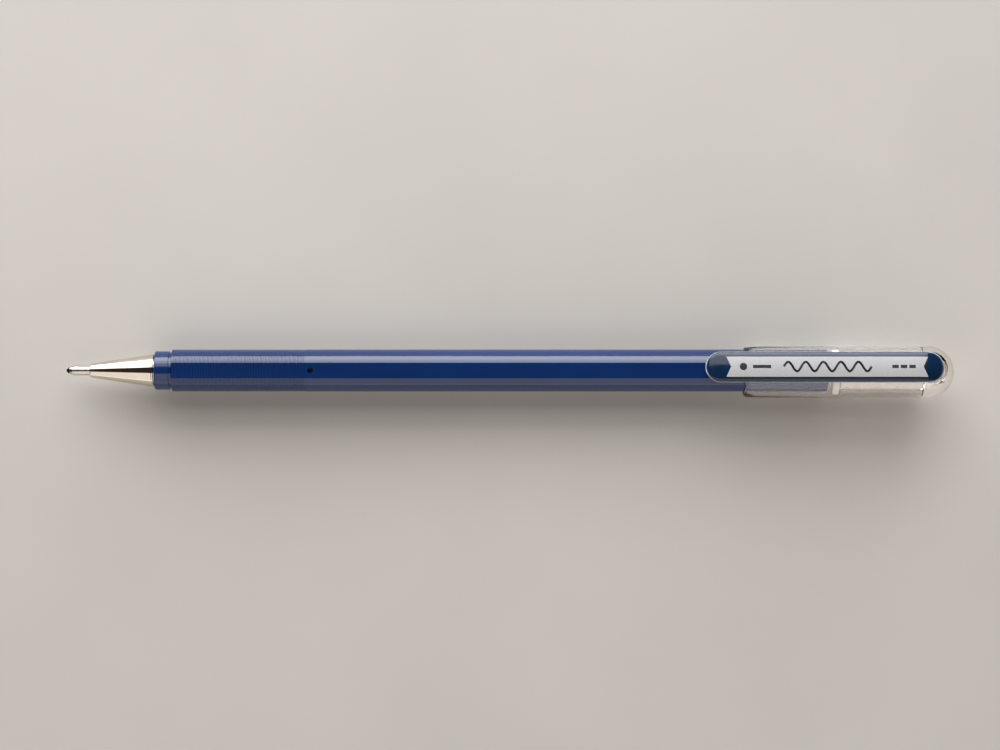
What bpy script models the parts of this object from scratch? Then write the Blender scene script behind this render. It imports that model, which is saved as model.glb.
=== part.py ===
"""A gel pen with a metal nose cone and a clear cap, lying down with the cap posted on its tail.

The pen lies along X with its point towards -X, and +Z is up. The origin is on the ground plane, under the
middle of the whole posted pen. Sizes are in millimetres, and MM turns them into metres. On the pen, x runs
back from the front of the ball, and in the cap it runs back from the rim. r or h is measured from the axis.
"""

import math

import bmesh
import bpy

MM = 0.001
FACETS = 36  # round a large turned piece, so that a corner lies at the bottom for any roll in tens of degrees
FINE_FACETS = 24  # round a small turned piece

# Ball, metal point and the spring behind the ball
BALL_D = 1.0
BALL_SHOWN = 0.34
POINT_D = 1.95
POINT_NOSE = 2.1
POINT_SHOWN = 4.56
POINT_HELD = 2.4
POINT_BORE_D = 1.1
INK_HOLE_D = 0.4
LIP_WALL = 0.09
SPRING_WIRE_D = 0.12
SPRING_TURNS = 9

# Refill: point holder, ink tube, ink and grease
HOLDER_WALL = 0.5
HOLDER_FLANGE = 1.05
HOLDER_PLUG = 4.6
TUBE_WALL = 0.4
TUBE_SPARE = 11.8
TUBE_END_GAP = 10.8
FOLLOWER_LENGTH = 8.0

# Metal nose cone
CONE_LENGTH = 12.15
CONE_LIP = 0.3
CONE_WALL = 0.55
CONE_TIP_WALL = 0.275
CONE_STEP = 0.58
SPIGOT_WALL = 0.4
SPIGOT_LENGTH = 5.5

# Barrel and its tail plug
BARREL_D = 8.0
BARREL_LENGTH = 127.6
BARREL_WALL = 1.4
THREAD_DEPTH = 0.2
FLAT_DEPTH = 0.28
FLAT_END_GAP = 1.0
COLLAR_STEP = 0.32
COLLAR_LENGTH = 2.8
GROOVE_WIDTH = 0.5
GROOVE_DEPTH = 0.2
BARREL_CORNER = 0.3
VENT_D = 1.0
VENT_X = 29.65
PLUG_LENGTH = 5.8
PLUG_WALL = 0.9
PLUG_HOLE_D = 0.8

# Clear cap, soft inner seal and stopper
CAP_PLAY = 0.3
CAP_WALL = 0.5
CAP_POSTED = 15.8
RIM_TAPER = 2.3
RIM_WALL = 0.2
END_THICKNESS = 6.0
TAIL_GAP = 0.8
SEAL_BORE_D = 5.2
SEAL_WALL = 0.55
SEAL_SPACE = 0.45
SEAL_FLANGE = 1.3
SEAL_FLARE = 1.8
SEAL_END = 0.7
STOPPER_THICKNESS = 1.5

# Clip
CLIP_WIDTH = 5.85
CLIP_THICKNESS = 1.45
CLIP_CROWN = 0.45
CLIP_OVERHANG = 7.6
CLIP_SET_BACK = 2.4
CLIP_NOSE = 3.5
CLIP_TAIL = 6.0
CLIP_ROLL = 10.0
BEAD_LENGTH = 4.4
FOOT_LENGTH = 2.9
FOOT_DROP = 1.25
LEG_LENGTH = 1.8
LEG_WIDTH = 3.0
LEG_DROP = 2.7

# Clearances: round a turning fit, round a sliding one, and between faces that would touch
RUNNING = 0.05
SLIDING = 0.1
TOUCHING = 0.3

# Radii, from the barrel inwards and then outwards
barrel_r = BARREL_D / 2
collar_r = barrel_r - COLLAR_STEP
flat_h = barrel_r - FLAT_DEPTH
barrel_bore_r = barrel_r - BARREL_WALL
thread_bore_r = barrel_bore_r + THREAD_DEPTH
spigot_r = thread_bore_r - RUNNING
spigot_bore_r = spigot_r - SPIGOT_WALL
tube_r = spigot_bore_r - SLIDING
tube_bore_r = tube_r - TUBE_WALL
ink_r = tube_bore_r - RUNNING
point_r = POINT_D / 2
grip_bore_r = point_r + RUNNING
neck_r = grip_bore_r + HOLDER_WALL
neck_bore_r = neck_r + SLIDING + RUNNING
cone_bore_r = point_r + RUNNING
cone_front_r = cone_bore_r + CONE_TIP_WALL
cone_base_r = collar_r - CONE_STEP
cap_bore_r = barrel_r + CAP_PLAY + RUNNING
cap_r = cap_bore_r + CAP_WALL
seal_bore_r = SEAL_BORE_D / 2
seal_r = seal_bore_r + SEAL_WALL

# Places on the pen
cone_x = POINT_SHOWN
shoulder_x = cone_x + CONE_LENGTH
barrel_x = shoulder_x + SLIDING + RUNNING
barrel_end = barrel_x + BARREL_LENGTH
cone_slope = (cone_base_r - cone_front_r) / (CONE_LENGTH - CONE_LIP)


def cone_place(radius):
    """Where the nose cone has this outer radius."""
    return cone_x + (radius - cone_front_r) / cone_slope


# The holder seats in the cone as far forward as the cone's wall allows
waist_x = cone_place(neck_bore_r + CONE_WALL)
holder_x = waist_x + SLIDING
point_end = holder_x + POINT_HELD
flange_x = cone_place(spigot_bore_r + CONE_WALL) + SLIDING
tube_x = flange_x + HOLDER_FLANGE + SLIDING
tube_end = barrel_end - PLUG_LENGTH - TUBE_END_GAP
holder_end = tube_x + HOLDER_PLUG
ink_end = tube_end - TUBE_SPARE - FOLLOWER_LENGTH

# Places in the cap. When it is closed over the point, the seal grips the cone and the stopper meets the ball
seal_x = CAP_POSTED + TAIL_GAP
step_x = seal_x + SEAL_FLANGE + SLIDING
stopper_x = seal_x + SEAL_FLARE + cone_place(seal_bore_r)
seal_floor = stopper_x + STOPPER_THICKNESS + SLIDING
seal_end = seal_floor + SEAL_END
bore_end = seal_end + SLIDING
cap_length = bore_end + END_THICKNESS
clip_x = -CLIP_OVERHANG
clip_end = cap_length - CLIP_SET_BACK
clip_under = cap_r + TOUCHING
clip_top = clip_under + CLIP_THICKNESS
foot_x = clip_end - FOOT_LENGTH
foot_under = clip_under - FOOT_DROP
leg_under = foot_under - LEG_DROP
hinge_x = foot_x + FOOT_LENGTH / 2

rim_x = barrel_end - CAP_POSTED
total_length = rim_x + cap_length


def clear_scene():
    for thing in list(bpy.data.objects):
        bpy.data.objects.remove(thing)


def material(name, colour, roughness, metallic=0.0, clear=0.0):
    made = bpy.data.materials.new(name)
    made.use_nodes = True
    shader = made.node_tree.nodes["Principled BSDF"]
    shader.inputs["Base Color"].default_value = (*colour, 1.0)
    shader.inputs["Roughness"].default_value = roughness
    shader.inputs["Metallic"].default_value = metallic
    shader.inputs["Transmission Weight"].default_value = clear
    return made


def axis_empty(name, x, y, z, roll=0.0):
    """An empty on an axis along X, which carries the pieces that lie on it."""
    made = bpy.data.objects.new(name, None)
    bpy.context.collection.objects.link(made)
    made.location = (x * MM, y * MM, z * MM)
    made.rotation_euler.x = math.radians(roll)
    return made


def placed(name, data, parent, origin=(0, 0)):
    """An object under its parent, with its own origin at (x, h)."""
    made = bpy.data.objects.new(name, data)
    bpy.context.collection.objects.link(made)
    made.parent = parent
    made.location = (origin[0] * MM, 0, origin[1] * MM)
    return made


def finished(name, bm, parent, look=None, origin=(0, 0)):
    """An object from a bmesh whose points are in its parent's space."""
    bmesh.ops.remove_doubles(bm, verts=bm.verts, dist=1e-7)
    bmesh.ops.recalc_face_normals(bm, faces=bm.faces)
    bmesh.ops.translate(bm, verts=bm.verts, vec=(-origin[0] * MM, 0, -origin[1] * MM))
    mesh = bpy.data.meshes.new(name)
    bm.to_mesh(mesh)
    bm.free()
    mesh.shade_smooth()
    mesh.set_sharp_from_angle(angle=math.radians(30))
    if look:
        mesh.materials.append(look)
    return placed(name, mesh, parent, origin)


def turned(name, profile, parent, look=None, facets=FACETS):
    """A piece turned about X from (x, r) points. A profile that starts on the axis ends on it and makes a
    solid or a cup, and any other is closed and makes a ring."""
    bm = bmesh.new()
    points = [bm.verts.new((x * MM, 0, r * MM)) for x, r in profile]
    edges = [bm.edges.new(pair) for pair in zip(points, points[1:])]
    if profile[0][1] > 0:
        edges.append(bm.edges.new((points[-1], points[0])))
    turn = {"axis": (1, 0, 0), "cent": (0, 0, 0), "angle": math.tau, "steps": facets}
    bmesh.ops.spin(bm, geom=points + edges, use_merge=True, **turn)
    return finished(name, bm, parent, look)


def arc(centre, radii, start, end, steps):
    """Points round an ellipse, from start to end degrees."""
    angles = [math.radians(start + (end - start) * i / steps) for i in range(steps + 1)]
    return [(centre[0] + radii[0] * math.cos(a), centre[1] + radii[1] * math.sin(a)) for a in angles]


def pushed(bm, outline_points, vec):
    """A face on these points, pushed along vec into a prism."""
    face = bm.faces.new([bm.verts.new([c * MM for c in point]) for point in outline_points])
    grown = bmesh.ops.extrude_face_region(bm, geom=[face])["geom"]
    moved = [v for v in grown if isinstance(v, bmesh.types.BMVert)]
    bmesh.ops.translate(bm, verts=moved, vec=[c * MM for c in vec])


def across(name, outline, half_width, parent, look=None, origin=(0, 0)):
    """A prism across the pen, from an outline of (x, h) points."""
    bm = bmesh.new()
    pushed(bm, [(x, -half_width, h) for x, h in outline], (0, 2 * half_width, 0))
    return finished(name, bm, parent, look, origin)


def upright(name, outline, low, high, parent):
    """A prism that stands up from the axis, from an outline of (x, y) points."""
    bm = bmesh.new()
    pushed(bm, [(x, y, low) for x, y in outline], (0, 0, high - low))
    return finished(name, bm, parent)


def block(name, x, half_width, h, parent):
    """A box across the pen, between a pair of x and a pair of h."""
    corners = [(x[0], h[0]), (x[1], h[0]), (x[1], h[1]), (x[0], h[1])]
    return across(name, corners, half_width, parent)


def shape(target, tool, operation):
    """A live Boolean on target. The tool stays out of the model."""
    tool.hide_render = True
    tool.display_type = "WIRE"
    modifier = target.modifiers.new(tool.name, "BOOLEAN")
    modifier.operation = operation
    modifier.object = tool
    modifier.solver = "EXACT"


def make_ball(pen):
    bm = bmesh.new()
    centre = BALL_D / 2
    bmesh.ops.create_uvsphere(bm, u_segments=20, v_segments=12, radius=centre * MM)
    bmesh.ops.translate(bm, verts=bm.verts, vec=(centre * MM, 0, 0))
    look = material("tungsten_carbide", (0.10, 0.10, 0.11), 0.25, metallic=1.0)
    finished("ball", bm, pen, look, origin=(centre, 0))


def make_point(pen):
    """The metal point: a lip pressed round the ball, a tapered nose, a shank, an ink hole and a bore."""
    centre = BALL_D / 2
    socket_r = centre + RUNNING / 2
    bore_r = POINT_BORE_D / 2
    hole_r = INK_HOLE_D / 2
    lip_angle = math.degrees(math.acos((BALL_SHOWN - centre) / socket_r))
    hole_angle = math.degrees(math.asin(hole_r / socket_r))
    socket = arc((centre, 0), (socket_r, socket_r), hole_angle, lip_angle, 7)
    lip_r = socket[-1][1] + LIP_WALL
    shares = [i / 6 for i in range(7)]
    nose_x = [BALL_SHOWN + (POINT_NOSE - BALL_SHOWN) * share for share in shares]
    nose = [(x, lip_r + (point_r - lip_r) * math.sin(share * math.pi / 2)) for x, share in zip(nose_x, shares)]
    hole_end = socket[0][0] + hole_r
    bore_x = hole_end + bore_r
    behind = [(point_end, point_r), (point_end, bore_r), (bore_x, bore_r), (hole_end, hole_r)]
    look = material("nickel_silver", (0.62, 0.60, 0.56), 0.3, metallic=1.0)
    turned("point", socket + nose + behind, pen, look, FINE_FACETS)


def make_ball_spring(pen):
    """A fine coil in the point's bore, whose straight front end presses the ball against the lip."""
    per_turn = 10
    wire_r = SPRING_WIRE_D / 2
    coil_r = POINT_BORE_D / 2 - SLIDING - wire_r
    nose_x = BALL_D + RUNNING + wire_r
    coil_x = BALL_D + INK_HOLE_D + POINT_BORE_D / 2
    coil_end = point_end - SLIDING
    route = [(nose_x, 0, 0), (nose_x + INK_HOLE_D, 0, 0)]
    for i in range(SPRING_TURNS * per_turn + 1):
        angle = math.tau * i / per_turn
        x = coil_x + (coil_end - coil_x) * i / (SPRING_TURNS * per_turn)
        route.append((x, coil_r * math.cos(angle), coil_r * math.sin(angle)))
    wire = bpy.data.curves.new("ball_spring", "CURVE")
    wire.dimensions = "3D"
    wire.bevel_depth = wire_r * MM
    wire.bevel_resolution = 1
    wire.use_fill_caps = True
    spline = wire.splines.new("POLY")
    spline.points.add(len(route) - 1)
    for point, place in zip(spline.points, route):
        point.co = (*[c * MM for c in place], 1)
    wire.materials.append(material("spring_steel", (0.55, 0.55, 0.57), 0.3, metallic=1.0))
    placed("ball_spring", wire, pen)


def make_point_holder(pen):
    """The moulded joint that grips the shank, seats in the cone and plugs the ink tube."""
    plug_r = tube_bore_r - RUNNING
    channel_r = point_r - SLIDING
    flange_end = tube_x - SLIDING
    step = point_end + SLIDING
    profile = [(holder_x, grip_bore_r), (holder_x, neck_r), (flange_x, neck_r), (flange_x, tube_r)]
    profile += [(flange_end, tube_r), (flange_end, plug_r), (holder_end, plug_r), (holder_end, channel_r)]
    profile += [(step, channel_r), (step, grip_bore_r)]
    turned("point_holder", profile, pen, material("natural_acetal", (0.85, 0.85, 0.80), 0.4), FINE_FACETS)


def make_ink_tube(pen):
    profile = [(tube_x, tube_bore_r), (tube_x, tube_r), (tube_end, tube_r), (tube_end, tube_bore_r)]
    turned("ink_tube", profile, pen, material("clear_polypropylene", (0.8, 0.82, 0.85), 0.2, clear=0.8))


def make_ink(pen):
    """The gel column, from behind the point through the holder into the tube."""
    thread_r = point_r - 2 * SLIDING
    start = point_end + SLIDING
    behind = holder_end + SLIDING
    profile = [(start, 0), (start, thread_r), (behind, thread_r), (behind, ink_r), (ink_end, ink_r), (ink_end, 0)]
    turned("gel_ink", profile, pen, material("navy_gel_ink", (0.01, 0.02, 0.10), 0.2), FINE_FACETS)


def make_follower(pen):
    """The grease plug that follows the ink down the tube and keeps it from drying."""
    front = ink_end + SLIDING
    back = front + FOLLOWER_LENGTH
    profile = [(front, 0), (front, ink_r), (back, ink_r), (back, 0)]
    turned("ink_follower", profile, pen, material("clear_grease", (0.75, 0.72, 0.55), 0.3, clear=0.6), FINE_FACETS)


def make_nose_cone(pen):
    """The metal cone, its turned lip, and the spigot that screws into the barrel."""
    lip_x = shoulder_x - CONE_LIP
    spigot_end = barrel_x + SPIGOT_LENGTH
    seat_x = flange_x - SLIDING
    profile = [(cone_x, cone_bore_r), (cone_x, cone_front_r), (lip_x, cone_base_r)]
    profile += [(shoulder_x, cone_base_r - CONE_LIP / 2), (shoulder_x, spigot_r), (spigot_end, spigot_r)]
    profile += [(spigot_end, spigot_bore_r), (seat_x, spigot_bore_r), (seat_x, neck_bore_r)]
    profile += [(waist_x, neck_bore_r), (waist_x - 3 * CONE_WALL, cone_bore_r)]
    turned("nose_cone", profile, pen, material("polished_nickel", (0.72, 0.69, 0.64), 0.08, metallic=1.0))


def make_barrel(pen):
    """A round tube with two long flats that stop short of the posted cap, a collar in front that the closed
    cap passes over, and a vent hole."""
    c = BARREL_CORNER
    collar_end = barrel_x + COLLAR_LENGTH
    body_x = collar_end + GROOVE_WIDTH
    groove_r = collar_r - GROOVE_DEPTH
    thread_end = barrel_x + SPIGOT_LENGTH + 2 * TOUCHING
    profile = [(barrel_x, thread_bore_r)]
    profile += arc((barrel_x + c, collar_r - c), (c, c), 180, 90, 3)
    profile += [(collar_end - c, collar_r), (collar_end, collar_r - c / 2), (collar_end, groove_r)]
    profile += [(body_x, groove_r), (body_x, barrel_r - c), (body_x + c, barrel_r)]
    profile += [(barrel_end - c, barrel_r), (barrel_end, barrel_r - c), (barrel_end, barrel_bore_r)]
    profile += [(thread_end, barrel_bore_r), (thread_end, thread_bore_r)]
    barrel = turned("barrel", profile, pen, material("navy_styrene", (0.006, 0.025, 0.11), 0.2))
    ends = (collar_end, rim_x - FLAT_END_GAP)
    shape(barrel, block("upper_flat_cutter", ends, BARREL_D, (flat_h, BARREL_D), pen), "DIFFERENCE")
    shape(barrel, block("lower_flat_cutter", ends, BARREL_D, (-BARREL_D, -flat_h), pen), "DIFFERENCE")
    vent = arc((barrel_x + VENT_X, 0), (VENT_D / 2, VENT_D / 2), 0, 360, 16)[:-1]
    shape(barrel, upright("vent_cutter", vent, 0, BARREL_D, pen), "DIFFERENCE")


def make_tail_plug(pen):
    """The cup-shaped plug in the tail, with a breather hole through its floor."""
    plug_r = barrel_bore_r - RUNNING
    back = barrel_end - SLIDING
    front = back - PLUG_LENGTH
    floor = back - PLUG_WALL
    hole_r = PLUG_HOLE_D / 2
    profile = [(front, plug_r - PLUG_WALL), (front, plug_r - SLIDING), (front + PLUG_WALL, plug_r)]
    profile += [(back, plug_r), (back, hole_r), (floor, hole_r), (floor, plug_r - PLUG_WALL)]
    turned("tail_plug", profile, pen, material("navy_plug", (0.008, 0.03, 0.12), 0.35))


def make_cap_shell(cap):
    """The clear cap: a domed solid end, a bore for the pen and a narrower one for the seal, with a seat and
    a pocket for the clip cut in the end."""
    rear_bore_r = seal_r + SEAL_SPACE
    rim_r = cap_bore_r + RIM_WALL
    profile = arc((cap_length - cap_r, 0), (cap_r, cap_r), 0, 90, 9)
    profile[0] = (cap_length, 0)
    profile += arc((RIM_TAPER, rim_r), (RIM_TAPER, cap_r - rim_r), 90, 180, 4)
    profile += [(0, cap_bore_r), (step_x, cap_bore_r), (step_x, rear_bore_r)]
    profile += [(bore_end, rear_bore_r), (bore_end, 0)]
    shell = turned("cap_shell", profile, cap, material("clear_styrene", (0.9, 0.92, 0.93), 0.05, clear=1.0))
    past = cap_length + cap_r
    seat_h = foot_under - TOUCHING
    seat = block("clip_seat_cutter", (foot_x - TOUCHING, past), cap_r, (seat_h, 2 * cap_r), cap)
    shape(shell, seat, "DIFFERENCE")
    half_length = LEG_LENGTH / 2 + TOUCHING
    pocket_x = (hinge_x - half_length, hinge_x + half_length)
    pocket_h = (leg_under - TOUCHING, 2 * cap_r)
    pocket = block("clip_pocket_cutter", pocket_x, LEG_WIDTH / 2 + TOUCHING, pocket_h, cap)
    shape(shell, pocket, "DIFFERENCE")


def make_inner_seal(cap):
    """The soft sleeve that the cone plugs into when the cap is closed, flanged at its flared mouth."""
    flange_r = cap_bore_r - SLIDING
    flange_end = seal_x + SEAL_FLANGE
    mouth_r = seal_bore_r + SEAL_FLARE * cone_slope + SLIDING
    profile = [(seal_end, 0), (seal_end, seal_r), (flange_end, seal_r), (flange_end, flange_r)]
    profile += [(seal_x, flange_r), (seal_x, mouth_r), (seal_x + SEAL_FLARE, seal_bore_r)]
    profile += [(seal_floor, seal_bore_r), (seal_floor, 0)]
    turned("inner_seal", profile, cap, material("natural_polyethylene", (0.85, 0.86, 0.86), 0.45, clear=0.3))


def make_tip_stopper(cap):
    """The rubber pad that the ball meets when the cap is closed."""
    pad_r = seal_bore_r - SLIDING
    back = stopper_x + STOPPER_THICKNESS
    profile = [(stopper_x, 0), (stopper_x, pad_r), (back, pad_r), (back, 0)]
    turned("tip_stopper", profile, cap, material("grey_elastomer", (0.35, 0.35, 0.36), 0.7), FINE_FACETS)


def make_clip(cap):
    """A crowned strip with half-round ends, a bead under its nose, and a foot and a leg set in the cap's end."""
    look = material("navy_clip", (0.006, 0.03, 0.12), 0.12)
    bead_drop = clip_under - barrel_r - TOUCHING - CAP_PLAY * math.sin(math.radians(CLIP_ROLL))
    bead_x = clip_x + CLIP_NOSE
    edge_h = clip_under + CLIP_THICKNESS / 5
    nose_h = clip_top - edge_h
    tail_h = foot_under + CLIP_THICKNESS / 2
    outline = arc((bead_x, edge_h), (CLIP_NOSE, nose_h), 90, 180, 5)
    outline += [(clip_x + CLIP_THICKNESS / 4, clip_under)]
    outline += arc((bead_x, clip_under), (BEAD_LENGTH / 2, bead_drop), 180, 360, 6)
    outline += [(foot_x, clip_under), (foot_x, foot_under), (clip_end - CLIP_THICKNESS / 2, foot_under)]
    outline += arc((clip_end - CLIP_TAIL, tail_h), (CLIP_TAIL, clip_top - tail_h), 0, 90, 7)
    clip = across("clip", outline, CLIP_WIDTH, cap, look, origin=(hinge_x, foot_under))

    half = CLIP_WIDTH / 2
    plan = arc((clip_x + half, 0), (half, half), 90, 270, 14) + arc((clip_end - half, 0), (half, half), -90, 90, 14)
    shape(clip, upright("clip_plan_cutter", plan, 0, 2 * clip_top, cap), "INTERSECT")
    crown_r = (half**2 + CLIP_CROWN**2) / (2 * CLIP_CROWN)
    ends = [(clip_x - half, 0), (clip_x - half, crown_r), (clip_end + half, crown_r), (clip_end + half, 0)]
    crown = turned("clip_crown_cutter", ends, cap, facets=96)
    crown.location.z = (clip_top - crown_r) * MM
    shape(clip, crown, "INTERSECT")
    leg_x = (hinge_x - LEG_LENGTH / 2, hinge_x + LEG_LENGTH / 2)
    leg = block("clip_leg_joined", leg_x, LEG_WIDTH / 2, (leg_under, foot_under + TOUCHING), cap)
    shape(clip, leg, "UNION")


def build():
    clear_scene()
    pen = axis_empty("pen_axis", -total_length / 2, CAP_PLAY, cap_r)
    cap = axis_empty("cap_axis", rim_x - total_length / 2, 0, cap_r, -CLIP_ROLL)
    for make in (make_ball, make_point, make_ball_spring, make_point_holder, make_ink_tube, make_ink):
        make(pen)
    for make in (make_follower, make_nose_cone, make_barrel, make_tail_plug):
        make(pen)
    for make in (make_cap_shell, make_inner_seal, make_tip_stopper, make_clip):
        make(cap)


build()
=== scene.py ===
"""The looks of a gel pen with a metal nose cone and a clear cap, lying on a pale floor, its cap on its tail.

Shapes are worked in millimetres along the pen. x runs back from the front of the ball, or for the cap and
the clip from the cap's rim, y runs across, and h up from the axis. PEN and CAP carry them into the frame.
"""

import math

import bmesh
import bpy
from mathutils import Matrix, Vector


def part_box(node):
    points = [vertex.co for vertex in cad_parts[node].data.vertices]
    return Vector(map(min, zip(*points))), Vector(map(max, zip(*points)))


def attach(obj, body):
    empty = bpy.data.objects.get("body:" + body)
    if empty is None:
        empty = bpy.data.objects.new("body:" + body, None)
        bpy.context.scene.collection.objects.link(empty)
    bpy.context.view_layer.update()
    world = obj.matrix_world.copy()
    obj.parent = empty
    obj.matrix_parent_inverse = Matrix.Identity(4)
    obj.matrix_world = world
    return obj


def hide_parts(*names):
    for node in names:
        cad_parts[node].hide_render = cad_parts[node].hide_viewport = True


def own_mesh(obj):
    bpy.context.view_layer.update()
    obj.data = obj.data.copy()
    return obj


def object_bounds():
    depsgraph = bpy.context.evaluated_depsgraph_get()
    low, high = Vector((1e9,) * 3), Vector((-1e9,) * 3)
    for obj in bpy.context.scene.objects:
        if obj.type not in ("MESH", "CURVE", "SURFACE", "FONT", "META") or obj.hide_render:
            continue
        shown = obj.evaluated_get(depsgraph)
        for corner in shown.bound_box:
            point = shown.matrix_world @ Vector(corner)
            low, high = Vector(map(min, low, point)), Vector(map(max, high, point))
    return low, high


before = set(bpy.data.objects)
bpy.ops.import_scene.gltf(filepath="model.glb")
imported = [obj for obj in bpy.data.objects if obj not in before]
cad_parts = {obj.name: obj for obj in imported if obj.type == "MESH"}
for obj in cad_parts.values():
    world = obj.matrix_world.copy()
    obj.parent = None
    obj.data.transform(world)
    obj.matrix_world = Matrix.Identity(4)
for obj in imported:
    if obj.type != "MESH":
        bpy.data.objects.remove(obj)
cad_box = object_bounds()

MM = 0.001

# Sizes shared with the solid model, in millimetres
BALL_D = 1.0
BALL_SHOWN = 0.34
POINT_D = 1.95
POINT_NOSE = 2.1
POINT_END = 13.15
SHANK_WAIST = 0.06
POINT_BORE_D = 1.1
INK_HOLE_D = 0.4
LIP_WALL = 0.09
CONE_LENGTH = 12.15
CONE_LIP = 0.3
CONE_WALL = 0.55
CONE_FRONT_R = 1.3
CONE_BASE_R = 3.1
CONE_BORE_R = 1.025
CONE_WAIST_X = 10.65
NECK_BORE_R = 1.675
CONE_SEAT_X = 15.093
SPIGOT_R = 2.75
SPIGOT_BORE_R = 2.35
SPIGOT_LENGTH = 5.5
THREAD_PITCH = 1.0
THREAD_DEPTH = 0.13
THREAD_TURNS = 4
THREAD_START = 0.45
THREAD_ROOT = 0.05
BARREL_BORE_R = 2.6
THREAD_BORE_R = 2.8
COLLAR_R = 3.68
COLLAR_LENGTH = 2.8
GROOVE_WIDTH = 0.5
GROOVE_R = 3.48
FLAT_H = 3.72
FLAT_END_GAP = 1.0
VENT_D = 1.0
VENT_X = 29.65
PLUG_LENGTH = 5.8
PLUG_WALL = 0.9
PLUG_HOLE_D = 0.8
CAP_BORE_R = 4.35
REAR_BORE_R = 3.6
RIM_R = 4.55
RIM_TAPER = 2.3
SEAL_X = 16.6
SEAL_BORE_R = 2.6
SEAL_R = 3.15
SEAL_FLANGE = 1.3
SEAL_FLARE = 1.8
STOPPER_X = 31.518
STOPPER_THICKNESS = 1.5
SEAL_END = 33.818
CLIP_WIDTH = 5.85
CLIP_THICKNESS = 1.45
CLIP_CROWN = 0.45
CLIP_OVERHANG = 7.6
CLIP_SET_BACK = 2.4
CLIP_NOSE = 3.5
CLIP_TAIL = 6.0
CLIP_ROLL = 10.0
BEAD_LENGTH = 4.4
BEAD_DROP = 0.798
FOOT_LENGTH = 2.9
FOOT_DROP = 1.25
LEG_LENGTH = 1.8
LEG_WIDTH = 3.0
LEG_DROP = 2.7
RUNNING = 0.05
SLIDING = 0.1
TOUCHING = 0.3

# Sizes of the finish, in millimetres
GRIP_PITCH = 0.5
GRIP_RIBS = 50
GRIP_CUT = 0.06
VENT_BEVEL = 0.12
CLIP_EDGE = 0.35
CLIP_LEDGE = 0.17
LEDGE_UNDER = 0.45
LEDGE_THICKNESS = 0.25
LEG_BEVEL = 0.15
INK_STAIN = 0.45
STAIN_FADE = 0.15

# The clip's print, in millimetres: the lifts are how high each film stands above the clip's top
PRINT_THICKNESS = 0.02
PRINT_STEP = 0.5
BAND_START = 3.85
BAND_END = 3.3
BAND_HALF = 1.92
BAND_MIDDLE = -0.1
BAND_NOTCH = 0.9
SHADE_BACK = 0.12
SHADE_DROP = 0.3
SHADE_LIFT = 0.01
BAND_LIFT = 0.02
MARK_LIFT = 0.03
DOT_X = 3.2
DOT_R = 0.7
BAR_HALF = 0.3
LONG_BAR_X = 5.0
LONG_BAR_LENGTH = 3.4
SHORT_BARS_X = (6.8, 5.2, 3.6)
SHORT_BAR_LENGTH = 1.2
SAMPLE_X = 10.8
SAMPLE_LENGTH = 16.5
SAMPLE_WAVE = 0.9
SAMPLE_WIDTH = 0.42
SAMPLE_TURNS = 5
SAMPLE_STEPS = 16

# The softboxes' place, in metres: how far they stand from the pen, and their two ends along it
LAMP_DISTANCE = 0.7
KEY_ENDS = (-0.6, 0.36)
FILL_ENDS = (-0.6, 0.5)

# The floor's half side and the camera's height above it, in metres
FLOOR_HALF = 2.5
CAMERA_HEIGHT = 0.575

# The camera's lens and sensor, and its place before and beside the pen's middle, in millimetres
CAMERA_LENS = 108
CAMERA_SENSOR = 36
CAMERA_FORWARD = 1.92
CAMERA_ASIDE = 0.555

# A colour Mix node's sockets share their names with its number sockets, so they are picked by place
MIX_FIRST = 6
MIX_SECOND = 7
MIX_RESULT = 2


# ---- Places, from the frame's own boxes ----


def sides(node):
    """(lowest, highest) corner of a node in millimetres."""
    return [Vector(corner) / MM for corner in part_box(node)]


ball_low = sides("ball")[0]
cone_low = sides("nose_cone")[0]
barrel_low, barrel_high = sides("barrel")
cap_low, cap_high = sides("cap_shell")
BARREL_R = (barrel_high.y - barrel_low.y) / 2
CAP_R = (cap_high.y - cap_low.y) / 2
axis_y = (barrel_high.y + barrel_low.y) / 2
axis_h = cap_low.z + CAP_R
cap_y = (cap_high.y + cap_low.y) / 2
CONE_X = cone_low.x - ball_low.x
BARREL_X = barrel_low.x - ball_low.x
BARREL_END = barrel_high.x - ball_low.x
RIM_X = cap_low.x - ball_low.x
CAP_LENGTH = cap_high.x - cap_low.x
SHOULDER_X = CONE_X + CONE_LENGTH
CLIP_X = -CLIP_OVERHANG
CLIP_END = CAP_LENGTH - CLIP_SET_BACK
CLIP_UNDER = CAP_R + TOUCHING
CLIP_TOP = CLIP_UNDER + CLIP_THICKNESS
FOOT_X = CLIP_END - FOOT_LENGTH
FOOT_UNDER = CLIP_UNDER - FOOT_DROP
HINGE_X = FOOT_X + FOOT_LENGTH / 2
CONE_SLOPE = (CONE_BASE_R - CONE_FRONT_R) / (CONE_LENGTH - CONE_LIP)

SIZE = Matrix.Scale(MM, 4)
PEN = Matrix.Translation(Vector((ball_low.x, axis_y, axis_h)) * MM) @ SIZE
ROLL = Matrix.Rotation(math.radians(-CLIP_ROLL), 4, "X")
CAP = Matrix.Translation(Vector((cap_low.x, cap_y, axis_h)) * MM) @ ROLL @ SIZE


# ---- Material nodes ----


def colour(code):
    """An sRGB hex colour as linear RGBA."""
    channels = [int(code[i : i + 2], 16) / 255 for i in (0, 2, 4)]
    linear = [c / 12.92 if c <= 0.04045 else ((c + 0.055) / 1.055) ** 2.4 for c in channels]
    return (*linear, 1.0)


def add(tree, kind, settings=None, values=None, links=None):
    """Adds a shader node with its settings, its socket values and the sockets linked into it."""
    made = tree.nodes.new("ShaderNode" + kind)
    for key, value in (settings or {}).items():
        setattr(made, key, value)
    for key, value in (values or {}).items():
        made.inputs[key].default_value = value
    for key, source in (links or {}).items():
        tree.links.new(source, made.inputs[key])
    return made


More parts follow.
